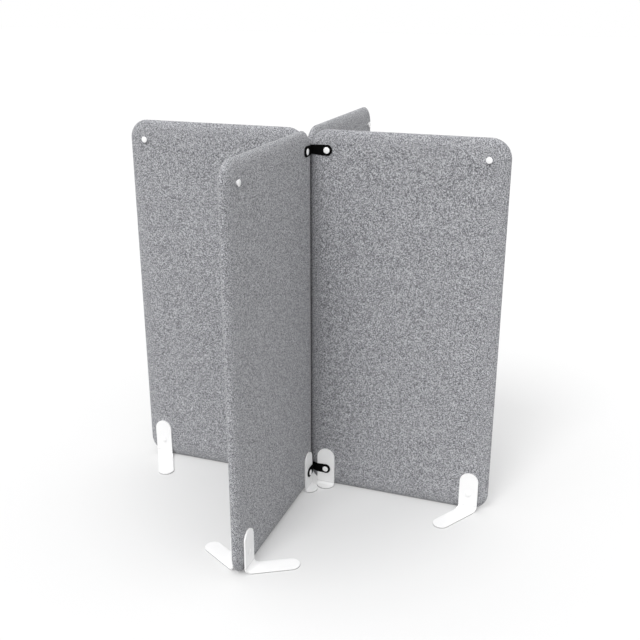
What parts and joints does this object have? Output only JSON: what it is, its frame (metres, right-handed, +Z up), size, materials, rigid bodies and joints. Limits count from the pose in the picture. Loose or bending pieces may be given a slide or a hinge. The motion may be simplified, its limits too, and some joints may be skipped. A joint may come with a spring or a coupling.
{
  "type": "acoustic divider screen",
  "caption": "Free-standing acoustic divider of upholstered screens joined in a cross by black straps, standing on bent white steel feet.",
  "frame": {"origin": "on the floor at the centre of the cross, where the four screens meet", "axes": "+X along the right screen, -Y along the front screen, +Z up"},
  "size_m": [1.536, 1.536, 1.5],
  "materials": {
    "fabric": "woven grey melange wool-like cloth, stretched",
    "foam": "off-white polyester wadding",
    "board": "light wood-fibre board",
    "white_steel": "satin white powder coat",
    "white_cap": "smooth white moulded caps",
    "black_strap": "matt black flexible strap"
  },
  "bodies": {
    "right_screen": {"right_fabric_cover": "fabric", "right_core_board": "board", "right_foam_pad_front": "foam", "right_outer_foot_front": "white_steel", "right_inner_foot_front": "white_steel", "right_foam_pad_back": "foam", "right_outer_foot_back": "white_steel", "right_inner_foot_back": "white_steel", "right_bolt_top_outer": "white_cap", "right_bolt_top_inner": "white_cap", "right_bolt_bottom_outer": "white_cap", "right_bolt_bottom_inner": "white_cap", "front_right_strap_top": "black_strap", "front_right_strap_bottom": "black_strap"},
    "back_screen": {"back_fabric_cover": "fabric", "back_core_board": "board", "back_foam_pad_right": "foam", "back_outer_foot_right": "white_steel", "back_inner_foot_right": "white_steel", "back_foam_pad_left": "foam", "back_outer_foot_left": "white_steel", "back_inner_foot_left": "white_steel", "back_bolt_top_outer": "white_cap", "back_bolt_top_inner": "white_cap", "back_bolt_bottom_outer": "white_cap", "back_bolt_bottom_inner": "white_cap", "back_right_strap_top": "black_strap", "back_right_strap_bottom": "black_strap"},
    "left_screen": {"left_fabric_cover": "fabric", "left_core_board": "board", "left_foam_pad_back": "foam", "left_outer_foot_back": "white_steel", "left_inner_foot_back": "white_steel", "left_foam_pad_front": "foam", "left_outer_foot_front": "white_steel", "left_inner_foot_front": "white_steel", "left_bolt_top_outer": "white_cap", "left_bolt_top_inner": "white_cap", "left_bolt_bottom_outer": "white_cap", "left_bolt_bottom_inner": "white_cap", "back_left_strap_top": "black_strap", "back_left_strap_bottom": "black_strap"},
    "front_screen": {"front_fabric_cover": "fabric", "front_core_board": "board", "front_foam_pad_left": "foam", "front_outer_foot_left": "white_steel", "front_inner_foot_left": "white_steel", "front_foam_pad_right": "foam", "front_outer_foot_right": "white_steel", "front_inner_foot_right": "white_steel", "front_bolt_top_outer": "white_cap", "front_bolt_top_inner": "white_cap", "front_bolt_bottom_outer": "white_cap", "front_bolt_bottom_inner": "white_cap", "front_left_strap_top": "black_strap", "front_left_strap_bottom": "black_strap"}
  },
  "joints": [
    {"name": "front_screen_swing", "type": "hinge", "parent": "right_screen", "child": "front_screen", "pos_m": [0, -0.027, 0.75], "axis": [0, 0, 1], "range_deg": [-2, 2], "deforming": ["front_right_strap_top", "front_right_strap_bottom", "front_left_strap_top", "front_left_strap_bottom"]},
    {"name": "back_screen_swing", "type": "hinge", "parent": "right_screen", "child": "back_screen", "pos_m": [0, 0.027, 0.75], "axis": [0, 0, 1], "range_deg": [-2, 2], "deforming": ["back_right_strap_top", "back_right_strap_bottom", "back_left_strap_top", "back_left_strap_bottom"]},
    {"name": "left_screen_swing", "type": "hinge", "parent": "right_screen", "child": "left_screen", "pos_m": [-0.027, 0, 0.75], "axis": [0, 0, 1], "range_deg": [-2, 2]}
  ]
}
